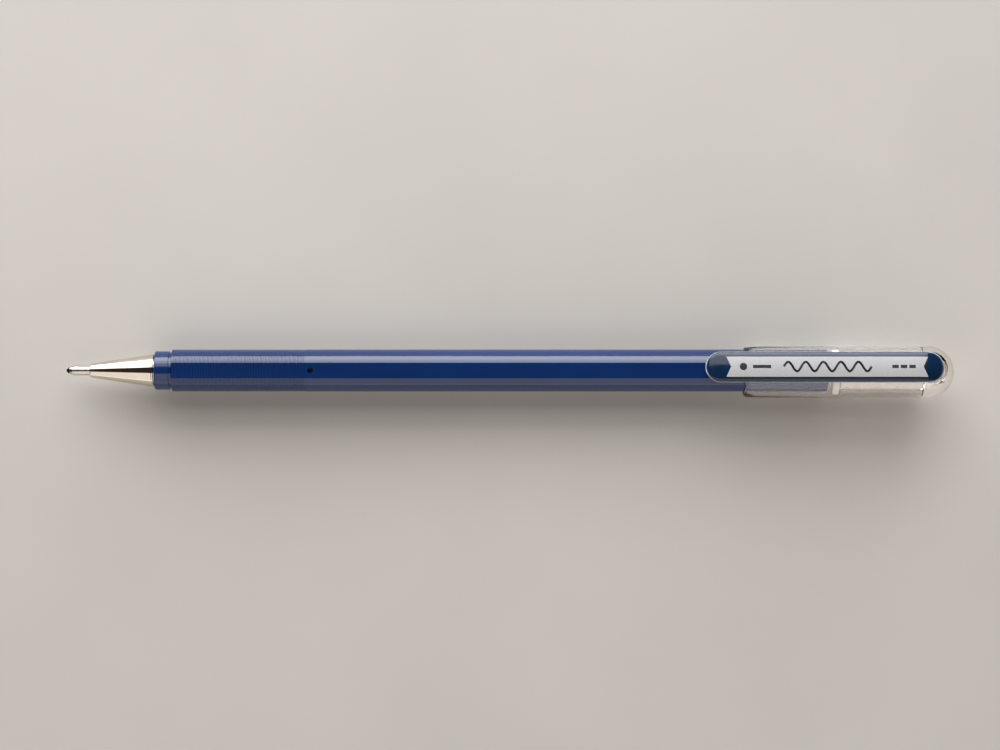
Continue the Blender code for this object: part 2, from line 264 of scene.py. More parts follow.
def grain(tree, cell, stretch=(1, 1, 1), detail=3.0, roughness=0.5):
    """Noise on Object coordinates with cells of so many millimetres, made longer by stretch on each axis."""
    where = add(tree, "TexCoord").outputs["Object"]
    scale = [1 / (cell * MM * s) for s in stretch]
    moved = add(tree, "Mapping", values={"Scale": scale}, links={"Vector": where})
    values = {"Scale": 1.0, "Detail": detail, "Roughness": roughness}
    noise = add(tree, "TexNoise", values=values, links={"Vector": moved.outputs["Vector"]})
    return noise.outputs["Fac"]


def spread(tree, source, low, high, inner=(0.3, 0.7)):
    """The part of source between the inner limits, spread from low to high."""
    limits = {"From Min": inner[0], "From Max": inner[1], "To Min": low, "To Max": high}
    return add(tree, "MapRange", values=limits, links={"Value": source}).outputs["Result"]


def blended(tree, share, first, second):
    """A colour between two, each a hex code or the output of another node."""
    made = add(tree, "Mix", {"data_type": "RGBA"})
    tree.links.new(share, made.inputs["Factor"])
    for place, paint in ((MIX_FIRST, first), (MIX_SECOND, second)):
        if isinstance(paint, str):
            made.inputs[place].default_value = colour(paint)
        else:
            tree.links.new(paint, made.inputs[place])
    return made.outputs[MIX_RESULT]


def raised(tree, height, depth):
    """A bump of this depth in millimetres."""
    values = {"Strength": 1.0, "Distance": depth * MM}
    return add(tree, "Bump", values=values, links={"Height": height}).outputs["Normal"]


def started(name):
    """A new material with its Principled shader."""
    made = bpy.data.materials.new(name)
    made.use_nodes = True
    return made, made.node_tree, made.node_tree.nodes["Principled BSDF"]


def dress(tree, shader, values, links):
    """Sets the shader's even values on its own sockets and links its patterns."""
    for key, value in values.items():
        shader.inputs[key].default_value = value
    for key, source in links.items():
        tree.links.new(source, shader.inputs[key])


# ---- Materials ----


def moulded_navy_styrene():
    """Glossy injection-moulded polystyrene: deep navy with slow flow clouds, a faintly uneven skin and fine
    lengthwise handling scuffs that soften the gloss in streaks."""
    made, tree, shader = started("moulded_navy_styrene")
    flow = grain(tree, 9.0, (4, 1, 1), 2.0)
    scuffs = grain(tree, 0.25, (40, 1, 1), 4.0, 0.65)
    skin = grain(tree, 2.5, (3, 1, 1), 2.0)
    paint = blended(tree, spread(tree, flow, 0, 1), "0A2859", "0E2F66")
    rough = spread(tree, scuffs, 0.07, 0.2, (0.35, 0.75))
    links = {"Base Color": paint, "Roughness": rough, "Normal": raised(tree, skin, 0.002)}
    dress(tree, shader, {"IOR": 1.59}, links)
    return made


def polished_nickel_plate():
    """Nickel plate on turned brass: a bright warm mirror over the lathe's rings, which are drawn some five
    times coarser than the real ones so that they just show."""
    made, tree, shader = started("polished_nickel_plate")
    rings = grain(tree, 0.12, (1, 60, 60), 3.0, 0.6)
    clouds = grain(tree, 4.0)
    paint = blended(tree, spread(tree, clouds, 0, 1), "D8D0C2", "E2DBCF")
    rough = spread(tree, rings, 0.03, 0.08)
    links = {"Base Color": paint, "Roughness": rough, "Normal": raised(tree, rings, 0.0003)}
    dress(tree, shader, {"Metallic": 1.0}, links)
    return made


def turned_nickel_silver():
    """Free-cutting nickel silver, turned and tumbled: a softer grey-white sheen than the cone's, with rings,
    and dark where ink dries on the lip round the ball."""
    made, tree, shader = started("turned_nickel_silver")
    rings = grain(tree, 0.09, (1, 40, 40), 3.0, 0.6)
    bare = blended(tree, spread(tree, rings, 0, 1), "C4BFB6", "DAD6CE")
    where = add(tree, "TexCoord").outputs["Object"]
    along = add(tree, "SeparateXYZ", links={"Vector": where}).outputs["X"]
    front = (ball_low.x + INK_STAIN) * MM
    stained = spread(tree, along, 1.0, 0.0, (front, front + STAIN_FADE * MM))
    paint = blended(tree, stained, bare, "1A1B26")
    rough = spread(tree, rings, 0.14, 0.28)
    links = {"Base Color": paint, "Roughness": rough, "Normal": raised(tree, rings, 0.0008)}
    dress(tree, shader, {"Metallic": 1.0}, links)
    return made


def lapped_tungsten_carbide():
    """Sintered and lapped carbide: a dark steel grey with an ink film that dulls it in patches."""
    made, tree, shader = started("lapped_tungsten_carbide")
    film = grain(tree, 0.2)
    paint = blended(tree, spread(tree, film, 0, 1), "0C0D12", "26272C")
    links = {"Base Color": paint, "Roughness": spread(tree, film, 0.1, 0.25)}
    dress(tree, shader, {"Metallic": 1.0}, links)
    return made


def drawn_spring_steel():
    """Drawn spring wire: grey steel with die lines."""
    made, tree, shader = started("drawn_spring_steel")
    lines = grain(tree, 0.03, (6, 1, 1))
    paint = blended(tree, lines, "8E8E92", "B4B4B8")
    links = {"Base Color": paint, "Roughness": spread(tree, lines, 0.2, 0.35)}
    dress(tree, shader, {"Metallic": 1.0}, links)
    return made


def see_through(made, tree, shader, tint, share=1.0):
    """Lets this share of a lamp's light through the plastic, because a shadow ray would stop at it."""
    clear = add(tree, "BsdfTransparent", values={"Color": colour(tint)})
    rays = add(tree, "LightPath").outputs["Is Shadow Ray"]
    amount = add(tree, "Math", {"operation": "MULTIPLY"}, {1: share}, {0: rays}).outputs[0]
    parts = {0: amount, 1: shader.outputs["BSDF"], 2: clear.outputs["BSDF"]}
    both = add(tree, "MixShader", links=parts)
    out = next(n for n in tree.nodes if n.type == "OUTPUT_MATERIAL")
    tree.links.new(both.outputs[0], out.inputs["Surface"])
    return made


def clear_moulded_styrene():
    """Clear injection-moulded polystyrene: bright glints, a faint warm tint, flow lines, hairline scuffs."""
    made, tree, shader = started("clear_moulded_styrene")
    flow = grain(tree, 3.0, (3, 1, 1), 2.0)
    scuffs = grain(tree, 0.2, (25, 1, 1), 4.0, 0.7)
    paint = blended(tree, spread(tree, flow, 0, 1), "FBF8F6", "FFFDFC")
    rough = spread(tree, scuffs, 0.0, 0.035, (0.45, 0.8))
    values = {"IOR": 1.59, "Transmission Weight": 1.0}
    links = {"Base Color": paint, "Roughness": rough, "Normal": raised(tree, flow, 0.001)}
    dress(tree, shader, values, links)
    return see_through(made, tree, shader, "F5F2F0")


def natural_polyethylene():
    """Unpigmented moulded polyethylene: waxy and milky, so half of a lamp's light passes it."""
    made, tree, shader = started("natural_polyethylene")
    haze = grain(tree, 1.2)
    paint = blended(tree, spread(tree, haze, 0, 1), "ECEBE9", "F8F7F6")
    links = {"Base Color": paint, "Roughness": spread(tree, haze, 0.25, 0.4)}
    dress(tree, shader, {"IOR": 1.51}, links)
    return see_through(made, tree, shader, "EEECEA", 0.5)


def moulded_grey_elastomer():
    """Moulded thermoplastic rubber: dull grey with a speckle of filler, drawn coarser than it is to show."""
    made, tree, shader = started("moulded_grey_elastomer")
    speckle = grain(tree, 0.15, detail=4.0)
    paint = blended(tree, spread(tree, speckle, 0, 1), "8A8A8C", "A3A3A4")
    rough = spread(tree, speckle, 0.6, 0.8)
    links = {"Base Color": paint, "Roughness": rough, "Normal": raised(tree, speckle, 0.004)}
    dress(tree, shader, {}, links)
    return made


def moulded_navy_clip():
    """Glossy moulded ABS in the barrel's navy, a shade greener, with slow flow clouds and light scuffs."""
    made, tree, shader = started("moulded_navy_clip")
    flow = grain(tree, 5.0, (3, 1, 1), 2.0)
    scuffs = grain(tree, 0.3, (12, 1, 1), 4.0, 0.65)
    paint = blended(tree, spread(tree, flow, 0, 1), "09233E", "0C2B4B")
    rough = spread(tree, scuffs, 0.1, 0.24, (0.35, 0.75))
    links = {"Base Color": paint, "Roughness": rough, "Normal": raised(tree, flow, 0.003)}
    dress(tree, shader, {"IOR": 1.54}, links)
    return made


def painted_highlight_ledge():
    """The rim of a clear styrene layer, painted pale blue-white as a painted highlight: the bright line that
    the clip's edge catches from the lamps.
    """
    made, tree, shader = started("painted_highlight_ledge")
    haze = grain(tree, 0.8)
    # Pale blue-white is a painted highlight: the bright line along the clip's edge.
    paint = blended(tree, spread(tree, haze, 0, 1), "BCC8D6", "D4DDE8")
    values = {"IOR": 1.59, "Transmission Weight": 0.2}
    links = {"Base Color": paint, "Roughness": spread(tree, haze, 0.12, 0.25)}
    dress(tree, shader, values, links)
    return made


def pad_printed_white():
    """White pad-printing ink: a satin film that lies slightly mottled on the plastic."""
    made, tree, shader = started("pad_printed_white")
    mottle = grain(tree, 0.35, detail=4.0)
    paint = blended(tree, spread(tree, mottle, 0, 1), "B2B4B7", "BBBDC0")
    rough = spread(tree, mottle, 0.4, 0.55)
    links = {"Base Color": paint, "Roughness": rough, "Normal": raised(tree, mottle, 0.002)}
    dress(tree, shader, {}, links)
    return made


def pad_printed_black():
    """Black pad-printing ink: thin, satin, with a hint of the navy under it."""
    made, tree, shader = started("pad_printed_black")
    mottle = grain(tree, 0.3, detail=4.0)
    paint = blended(tree, spread(tree, mottle, 0, 1), "14151B", "23232B")
    links = {"Base Color": paint, "Roughness": spread(tree, mottle, 0.35, 0.5)}
    dress(tree, shader, {}, links)
    return made


def natural_acetal():
    """Natural moulded acetal: an opaque, slippery off-white."""
    made, tree, shader = started("natural_acetal")
    haze = grain(tree, 1.0)
    paint = blended(tree, haze, "E2E0D6", "EFEDE4")
    links = {"Base Color": paint, "Roughness": spread(tree, haze, 0.3, 0.42)}
    dress(tree, shader, {"IOR": 1.48}, links)
    return made


def extruded_polypropylene():
    """Clear extruded polypropylene tube: slightly hazy, with lengthwise die lines."""
    made, tree, shader = started("extruded_polypropylene")
    lines = grain(tree, 0.12, (60, 1, 1))
    paint = blended(tree, lines, "E4E8EA", "F2F5F6")
    values = {"IOR": 1.49, "Transmission Weight": 0.8}
    links = {"Base Color": paint, "Roughness": spread(tree, lines, 0.12, 0.25)}
    dress(tree, shader, values, links)
    return see_through(made, tree, shader, "E8ECEE")


def navy_gel_ink():
    """Pigmented gel ink: almost black in the tube, wet, with slow swirls."""
    made, tree, shader = started("navy_gel_ink")
    swirl = grain(tree, 1.5, (4, 1, 1))
    paint = blended(tree, swirl, "050A24", "0B1540")
    links = {"Base Color": paint, "Roughness": spread(tree, swirl, 0.08, 0.16)}
    dress(tree, shader, {"IOR": 1.36}, links)
    return made


def follower_grease():
    """Clear silicone grease: pale straw, soft and cloudy."""
    made, tree, shader = started("follower_grease")
    cloud = grain(tree, 1.2)
    paint = blended(tree, cloud, "D9D2B4", "E8E2C8")
    values = {"IOR": 1.4, "Transmission Weight": 0.6}
    links = {"Base Color": paint, "Roughness": spread(tree, cloud, 0.2, 0.35)}
    dress(tree, shader, values, links)
    return made


def matt_painted_floor():
    """Matt paint on a board: pale warm grey with a soft mottle and a fine roller texture."""
    made, tree, shader = started("matt_painted_floor")
    mottle = grain(tree, 60.0)
    roller = grain(tree, 0.8, detail=2.0)
    paint = blended(tree, spread(tree, mottle, 0, 1), "C6C3BE", "CCC9C4")
    links = {"Base Color": paint, "Normal": raised(tree, roller, 0.01)}
    dress(tree, shader, {"Roughness": 0.7}, links)
    return made


# ---- Shaping ----


def arc(centre, radii, start, end, steps):
    """Points round an ellipse, from start to end degrees."""
    angles = [math.radians(start + (end - start) * i / steps) for i in range(steps + 1)]
    return [(centre[0] + radii[0] * math.cos(a), centre[1] + radii[1] * math.sin(a)) for a in angles]


def turned(profile, facets):
    """A bmesh turned about X from (x, r) points. A profile that starts on the axis ends on it, and any other
    is closed into a ring."""
    bm = bmesh.new()
    points = [bm.verts.new((x, 0, r)) for x, r in profile]
    edges = [bm.edges.new(pair) for pair in zip(points, points[1:])]
    if profile[0][1] > 0:
        edges.append(bm.edges.new((points[-1], points[0])))
    turn = {"axis": (1, 0, 0), "cent": (0, 0, 0), "angle": math.tau, "steps": facets}
    bmesh.ops.spin(bm, geom=points + edges, use_merge=True, **turn)
    return bm


def brick(low, high):
    """A box between two corners."""
    bm = bmesh.new()
    size = [b - a for a, b in zip(low, high)]
    middle = [(a + b) / 2 for a, b in zip(low, high)]
    bmesh.ops.create_cube(bm, size=1, matrix=Matrix.Translation(middle) @ Matrix.Diagonal((*size, 1)))
    return bm


def sliced(bm, along, places):
    """Cuts across every face at these places along X (0) or Y (1)."""
    normal = [float(i == along) for i in range(3)]
    for place in places:
        geom = bm.verts[:] + bm.edges[:] + bm.faces[:]
        point = [place * n for n in normal]
        bmesh.ops.bisect_plane(bm, geom=geom, dist=1e-5, plane_co=point, plane_no=normal)


def thickened(bm, upper, lower):
    """Two copies of a flat sheet, joined round the rim, at heights given by two functions of x and y."""
    grown = bmesh.ops.extrude_face_region(bm, geom=bm.faces[:])["geom"]
    below = {v for v in grown if isinstance(v, bmesh.types.BMVert)}
    for v in bm.verts:
        v.co.z = (lower if v in below else upper)(v.co.x, v.co.y)


def smoothed(mesh, sharp):
    """Shades a mesh smooth, with a hard edge wherever its faces turn by over sharp degrees."""
    mesh.shade_smooth()
    mesh.set_sharp_from_angle(angle=math.radians(sharp))


def solid(name, bm, place, sharp=30):
    """A new object at the origin that holds a bmesh's shape, carried into the frame."""
    bmesh.ops.remove_doubles(bm, verts=bm.verts, dist=1e-4)
    bmesh.ops.recalc_face_normals(bm, faces=bm.faces)
    bmesh.ops.transform(bm, matrix=place, verts=bm.verts)
    mesh = bpy.data.meshes.new(name)
    bm.to_mesh(mesh)
    bm.free()
    smoothed(mesh, sharp)
    made = bpy.data.objects.new(name, mesh)
    bpy.context.scene.collection.objects.link(made)
    return made


def cut(target, tool_bm, place, sharp=30):
    """Takes the tool out of the target and leaves one plain mesh."""
    tool = solid("tool", tool_bm, place)
    boolean = target.modifiers.new("cut", "BOOLEAN")
    boolean.object = tool
    boolean.solver = "EXACT"
    graph = bpy.context.evaluated_depsgraph_get()
    mesh = bpy.data.meshes.new_from_object(target.evaluated_get(graph))
    target.modifiers.clear()
    target.data = mesh
    bpy.data.objects.remove(tool)
    smoothed(mesh, sharp)


def belongs(made, look, body, slot, *nodes):
    """Gives a piece its material and its body, and hides the nodes it stands for. The slot is not used."""
    made.data.materials.clear()
    made.data.materials.append(look)
    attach(made, body)
    if nodes:
        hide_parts(*nodes)


# ---- Refill ----


def make_ball():
    """The writing ball, its front at x = 0."""
    bm = bmesh.new()
    bmesh.ops.create_uvsphere(bm, u_segments=48, v_segments=24, radius=BALL_D / 2)
    bmesh.ops.translate(bm, verts=bm.verts, vec=(BALL_D / 2, 0, 0))
    belongs(solid("carbide_ball", bm, PEN), lapped_tungsten_carbide(), "ball", "ball_carbide", "ball")


def make_point():
    """The metal point: a lip pressed round the ball, a rounded nose, a slightly waisted shank and bores."""
    centre = BALL_D / 2
    socket_r = centre + RUNNING / 2
    point_r = POINT_D / 2
    lip_angle = math.degrees(math.acos((BALL_SHOWN - centre) / socket_r))
    hole_angle = math.degrees(math.asin(INK_HOLE_D / 2 / socket_r))
    socket = arc((centre, 0), (socket_r, socket_r), hole_angle, lip_angle, 16)
    lip_r = socket[-1][1] + LIP_WALL
    nose = []
    for i in range(17):
        share = i / 16
        radius = lip_r + (point_r - lip_r) * math.sin(share * math.pi / 2)
        nose.append((BALL_SHOWN + (POINT_NOSE - BALL_SHOWN) * share, radius))
    shank_r = point_r - SHANK_WAIST
    shank = [(POINT_NOSE + 0.2, point_r), (POINT_NOSE + 0.24, point_r - 0.02), (POINT_NOSE + 0.4, shank_r)]
    shank += [(POINT_NOSE + 0.6, shank_r), (CONE_X - 0.1, shank_r)]
    shank += [(CONE_X + 0.1, shank_r), (CONE_X + 0.2, point_r)]
    hole_end = socket[0][0] + INK_HOLE_D / 2
    bore_x = hole_end + POINT_BORE_D / 2
    behind = [(POINT_END, point_r), (POINT_END, POINT_BORE_D / 2), (bore_x, POINT_BORE_D / 2)]
    behind += [(hole_end, INK_HOLE_D / 2)]
    bm = turned(socket + nose + shank + behind, 72)
    belongs(solid("metal_point", bm, PEN, 20), turned_nickel_silver(), "refill", "point_metal", "point")


def make_ink():
    """The gel: a fixed thread through the holder, and a column behind it that shortens as ink is used."""
    ink_low, ink_high = sides("gel_ink")
    start = ink_low.x - ball_low.x
    behind = sides("point_holder")[1].x - ball_low.x + SLIDING
    back = ink_high.x - ball_low.x
    ink_r = (ink_high.y - ink_low.y) / 2
    thread_r = POINT_D / 2 - 2 * SLIDING
    look = navy_gel_ink()
    thread = [(start, 0), (start, thread_r - 0.1), (start + 0.1, thread_r)]
    thread += [(behind, thread_r), (behind, 0)]
    belongs(solid("ink_thread", turned(thread, 64), PEN), look, "refill", "ink", "gel_ink")
    column = [(behind, 0), (behind, ink_r - 0.1), (behind + 0.1, ink_r)]
    column += [(back - 0.1, ink_r), (back, ink_r - 0.1), (back, 0)]
    made = solid("ink_column", turned(column, 64), PEN)
    belongs(made, look, "refill", "ink", "gel_ink")
    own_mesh(made)


def repaint_refill():
    """The other inner parts keep the solid model's shapes."""
    looks = {
        "ball_spring": drawn_spring_steel,
        "point_holder": natural_acetal,
        "ink_tube": extruded_polypropylene,
        "ink_follower": follower_grease,
    }
    for node, look in looks.items():
        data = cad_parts[node].data
        data.materials.clear()
        data.materials.append(look())


# ---- Nose cone ----


def make_nose_cone():
    """The plated cone with its rounded front edge and base lip, and the spigot behind it."""
    lip_x = SHOULDER_X - CONE_LIP
    spigot_end = BARREL_X + SPIGOT_LENGTH
    core_r = SPIGOT_R - THREAD_DEPTH
    lean = math.degrees(math.atan(CONE_SLOPE))
    nose = arc((CONE_X + 0.1, CONE_FRONT_R - 0.1), (0.1, 0.1), 180, 90 + lean, 5)
    base = arc((lip_x, CONE_BASE_R - 0.15), (0.3, 0.15), 90, 0, 8)
    taper_x = (CONE_X + 0.15, CONE_X + 0.3, lip_x - 0.4, lip_x - 0.2)
    taper = [(x, CONE_FRONT_R + (x - CONE_X) * CONE_SLOPE) for x in taper_x]
    profile = [(CONE_X, CONE_BORE_R), *nose, *taper, (lip_x - 0.12, CONE_BASE_R - 0.05), *base]
    profile += [(SHOULDER_X, core_r), (spigot_end - 0.2, core_r), (spigot_end, core_r - 0.2)]
    profile += [(spigot_end, SPIGOT_BORE_R), (CONE_SEAT_X, SPIGOT_BORE_R), (CONE_SEAT_X, NECK_BORE_R)]
    profile += [(CONE_WAIST_X, NECK_BORE_R), (CONE_WAIST_X - 3 * CONE_WALL, CONE_BORE_R)]
    made = solid("nose_cone_shell", turned(profile, 160), PEN, 20)
    belongs(made, polished_nickel_plate(), "cone", "cone_plating", "nose_cone")
    return made


def make_cone_thread(look):
    """The spigot's thread: one ridge wound back along it."""
    start = SHOULDER_X + THREAD_START
    half = THREAD_PITCH * 0.4
    root = SPIGOT_R - THREAD_DEPTH - THREAD_ROOT
    bm = bmesh.new()
    corners = [(start, root), (start + half, SPIGOT_R - 0.01), (start + 2 * half, root)]
    face = bm.faces.new([bm.verts.new((x, 0, r)) for x, r in corners])
    facets = 48
    turn = {"axis": (1, 0, 0), "cent": (0, 0, 0), "dvec": (THREAD_PITCH / facets, 0, 0)}
    turn |= {"angle": math.tau * THREAD_TURNS, "steps": facets * THREAD_TURNS}
    bmesh.ops.spin(bm, geom=[face, *face.edges, *face.verts], **turn)
    made = solid("cone_thread", bm, PEN, 60)
    belongs(made, look, "cone", "cone_plating")


# ---- Barrel ----


def grip_profile(start):
    """Fine rings cut round the grip, one groove to each pitch."""
    points = []
    for i in range(GRIP_RIBS):
        x = start + i * GRIP_PITCH
        points += [(x + 0.2, BARREL_R), (x + 0.26, BARREL_R - GRIP_CUT)]
        points += [(x + 0.42, BARREL_R - GRIP_CUT), (x + 0.48, BARREL_R)]
    return points


def make_barrel():
    """The tube with a collar, a groove, a ribbed grip, two long flats and a vent hole."""
    corner = 0.3
    collar_end = BARREL_X + COLLAR_LENGTH
    body_x = collar_end + GROOVE_WIDTH
    flat_end = RIM_X - FLAT_END_GAP
    thread_end = BARREL_X + SPIGOT_LENGTH + 2 * TOUCHING
    profile = [(BARREL_X, THREAD_BORE_R)]
    profile += arc((BARREL_X + corner, COLLAR_R - corner), (corner, corner), 180, 90, 8)
    profile += arc((collar_end - 0.12, COLLAR_R - 0.12), (0.12, 0.12), 90, 0, 5)
    profile += [(collar_end, GROOVE_R), (body_x, GROOVE_R)]
    profile += arc((body_x + 0.15, BARREL_R - 0.15), (0.15, 0.15), 180, 90, 5)
    profile += grip_profile(body_x + 0.2)
    profile += [(flat_end, BARREL_R), (flat_end + 0.1, BARREL_R)]
    profile += arc((BARREL_END - corner, BARREL_R - corner), (corner, corner), 90, 0, 8)
    profile += [(BARREL_END, BARREL_BORE_R), (thread_end, BARREL_BORE_R), (thread_end, THREAD_BORE_R)]
    facets = 120
    bm = turned(profile, facets)
    # The row of points nearest each flat's edge moves onto it, so that the edge comes out straight
    edge = math.acos(FLAT_H / BARREL_R)
    nearest = round(edge / (math.tau / facets)) * math.tau / facets
    for vert in bm.verts:
        radius = math.hypot(vert.co.y, vert.co.z)
        if radius < FLAT_H - 2 * GRIP_CUT or vert.co.x > flat_end + 0.05 or vert.co.x < body_x:
            continue
        lean = math.atan2(abs(vert.co.y), abs(vert.co.z))
        if abs(lean - nearest) < 0.01:
            vert.co.y = math.copysign(radius * math.sin(edge), vert.co.y)
            vert.co.z = math.copysign(radius * math.cos(edge), vert.co.z)
        limit = FLAT_H - (BARREL_R - radius)
        vert.co.z = max(-limit, min(limit, vert.co.z))
    made = solid("barrel_tube", bm, PEN, 15)
    vent_r = VENT_D / 2
    vent_x = BARREL_X + VENT_X
    top = FLAT_H + 0.1
    bore = [(0, 0), (0, vent_r), (FLAT_H - 0.08, vent_r), (top, vent_r + VENT_BEVEL), (top, 0)]
    vent = turned(bore, 40)
    bmesh.ops.rotate(vent, verts=vent.verts, cent=(0, 0, 0), matrix=Matrix.Rotation(-math.pi / 2, 3, "Y"))
    bmesh.ops.translate(vent, verts=vent.verts, vec=(vent_x, 0, 0))
    cut(made, vent, PEN, 15)
    belongs(made, moulded_navy_styrene(), "barrel", "barrel_resin", "barrel")
    return made


def make_tail_plug(look):
    """The cup-shaped plug in the tail, with a breather hole through its floor."""
    plug_r = BARREL_BORE_R - RUNNING
    back = BARREL_END - SLIDING
    front = back - PLUG_LENGTH
    floor = back - PLUG_WALL
    hole_r = PLUG_HOLE_D / 2
    profile = [(front, plug_r - PLUG_WALL), (front, plug_r - SLIDING), (front + PLUG_WALL, plug_r)]
    profile += arc((back - 0.15, plug_r - 0.15), (0.15, 0.15), 90, 0, 4)
    profile += [(back, plug_r - 0.5), (back - 0.25, plug_r - 0.7)]
    profile += [(back - 0.25, hole_r + 0.4), (back, hole_r + 0.3)]
    profile += [(back, hole_r), (floor, hole_r), (floor, plug_r - PLUG_WALL)]
    made = solid("tail_plug_cup", turned(profile, 72), PEN)
    belongs(made, look, "barrel", "plug_resin", "tail_plug")


# ---- Cap ----


def make_cap_shell():
    """The clear cap: a domed solid end, a bore for the pen and a narrower one for the seal, and a seat and a
    pocket for the clip cut in the end."""
    step_x = SEAL_X + SEAL_FLANGE + SLIDING
    bore_end = SEAL_END + SLIDING
    dome_x = CAP_LENGTH - CAP_R
    profile = arc((dome_x, 0), (CAP_R, CAP_R), 0, 90, 32)
    profile[0] = (CAP_LENGTH, 0)
    profile += arc((RIM_TAPER, RIM_R), (RIM_TAPER, CAP_R - RIM_R), 90, 180, 10)
    profile += [(0.05, CAP_BORE_R + 0.02), (0.15, CAP_BORE_R)]
    profile += [(step_x, CAP_BORE_R), (step_x, REAR_BORE_R)]
    profile += [(bore_end - 0.2, REAR_BORE_R), (bore_end, REAR_BORE_R - 0.2), (bore_end, 0)]
    made = solid("clear_cap_shell", turned(profile, 144), CAP)
    seat_low = (FOOT_X - TOUCHING, -CAP_R, FOOT_UNDER - TOUCHING)
    cut(made, brick(seat_low, (CAP_LENGTH + CAP_R, CAP_R, 2 * CAP_R)), CAP)
    half = LEG_LENGTH / 2 + TOUCHING
    side = LEG_WIDTH / 2 + TOUCHING
    floor = FOOT_UNDER - LEG_DROP - TOUCHING
    cut(made, brick((HINGE_X - half, -side, floor), (HINGE_X + half, side, 2 * CAP_R)), CAP)
    belongs(made, clear_moulded_styrene(), "cap", "cap_resin", "cap_shell")


def make_inner_seal():
    """The soft sleeve that the cone plugs into, flanged at its flared mouth."""
    flange_r = CAP_BORE_R - SLIDING
    mouth_r = SEAL_BORE_R + SEAL_FLARE * CONE_SLOPE + SLIDING
    floor = STOPPER_X + STOPPER_THICKNESS + SLIDING
    profile = [(SEAL_END, 0), (SEAL_END, SEAL_R - 0.3)]
    profile += arc((SEAL_END - 0.3, SEAL_R - 0.3), (0.3, 0.3), 0, 90, 5)
    profile += [(SEAL_X + SEAL_FLANGE, SEAL_R), (SEAL_X + SEAL_FLANGE, flange_r - 0.1)]
    profile += [(SEAL_X + SEAL_FLANGE - 0.1, flange_r), (SEAL_X + 0.15, flange_r), (SEAL_X, flange_r - 0.15)]
    profile += [(SEAL_X, mouth_r), (SEAL_X + SEAL_FLARE, SEAL_BORE_R), (floor, SEAL_BORE_R), (floor, 0)]
    made = solid("soft_inner_seal", turned(profile, 96), CAP)
    belongs(made, natural_polyethylene(), "cap", "seal_resin", "inner_seal")


def make_tip_stopper():
    """The rubber pad at the seal's end, with a shallow hollow for the ball."""
    pad_r = SEAL_BORE_R - SLIDING
    back = STOPPER_X + STOPPER_THICKNESS
    profile = [(STOPPER_X + 0.15, 0), (STOPPER_X + 0.15, 0.6), (STOPPER_X, 0.8), (STOPPER_X, pad_r - 0.15)]
    profile += [(STOPPER_X + 0.15, pad_r), (back, pad_r), (back, 0)]
    made = solid("rubber_tip_stopper", turned(profile, 64), CAP)
    belongs(made, moulded_grey_elastomer(), "cap", "stopper_rubber", "tip_stopper")


# ---- Clip ----


def clip_under(x, y):
    """The height of the clip's underside, alike at every y: a bead under the nose, a flat, then the foot."""
    bead = 1 - ((x - CLIP_X - CLIP_NOSE) / (BEAD_LENGTH / 2)) ** 2
    if bead > 0:
        return CLIP_UNDER - BEAD_DROP * math.sqrt(bead)
    rise = max(0, x - CLIP_END + CLIP_THICKNESS / 2) * 0.8
    return FOOT_UNDER + rise if x > FOOT_X + 0.02 else CLIP_UNDER


def clip_over(x, y):
    """The height of the clip's top: lowered along both ends, crowned across, and rounded at its rim."""
    nose_x = CLIP_X + CLIP_NOSE
    tail_x = CLIP_END - CLIP_TAIL
    edge_h = CLIP_UNDER + CLIP_THICKNESS / 5
    tail_h = FOOT_UNDER + CLIP_THICKNESS / 2
    height = CLIP_TOP
    if x < nose_x:
        height = edge_h + (CLIP_TOP - edge_h) * math.sqrt(max(0, 1 - ((nose_x - x) / CLIP_NOSE) ** 2))
    if x > tail_x:
        height = tail_h + (CLIP_TOP - tail_h) * math.sqrt(max(0, 1 - ((x - tail_x) / CLIP_TAIL) ** 2))
    base = FOOT_UNDER if x > FOOT_X else CLIP_UNDER
    share = min(1, (height - base) / CLIP_THICKNESS)
    half = CLIP_WIDTH / 2
    middle = max(CLIP_X + half, min(CLIP_END - half, x))
    inside = half - CLIP_LEDGE - math.hypot(x - middle, y)
    rim = max(0, CLIP_EDGE - max(0, inside))
    drop = CLIP_EDGE - math.sqrt(CLIP_EDGE**2 - rim**2)
    return height - share * (CLIP_CROWN * (y / half) ** 2 + drop)


def ledge_over(x, y):
    """The height of the pale ledge, low on the clip's side and under its top at both ends."""
    return min(CLIP_UNDER + LEDGE_UNDER, clip_over(x, y) - 0.1)


def clip_plan(inset):
    """The clip's outline from above, half round at both ends, as one flat face."""
    half = CLIP_WIDTH / 2
    bm = bmesh.new()
    bmesh.ops.create_circle(bm, cap_ends=True, radius=half - inset, segments=128)
    bmesh.ops.rotate(bm, verts=bm.verts, cent=(0, 0, 0), matrix=Matrix.Rotation(math.pi / 128, 3, "Z"))
    rear = [v for v in bm.verts if v.co.x > 0]
    front = [v for v in bm.verts if v.co.x < 0]
    bmesh.ops.translate(bm, verts=rear, vec=(CLIP_END - half, 0, 0))
    bmesh.ops.translate(bm, verts=front, vec=(CLIP_X + half, 0, 0))
    return bm


def across_the_ends(bm):
    """Close cuts across both ends, where the height changes fast, and wide ones between."""
    close = 0.25
    wide = 2.0
    end_length = 6.5
    nose = [CLIP_X + 0.1 + close * i for i in range(24)]
    tail = [CLIP_END - 0.1 - close * i for i in range(28)]
    count = int((CLIP_END - CLIP_X - 2 * end_length) / wide)
    body = [CLIP_X + end_length + wide * i for i in range(count)]
    sliced(bm, 0, nose + tail + body + [FOOT_X, FOOT_X + 0.04])


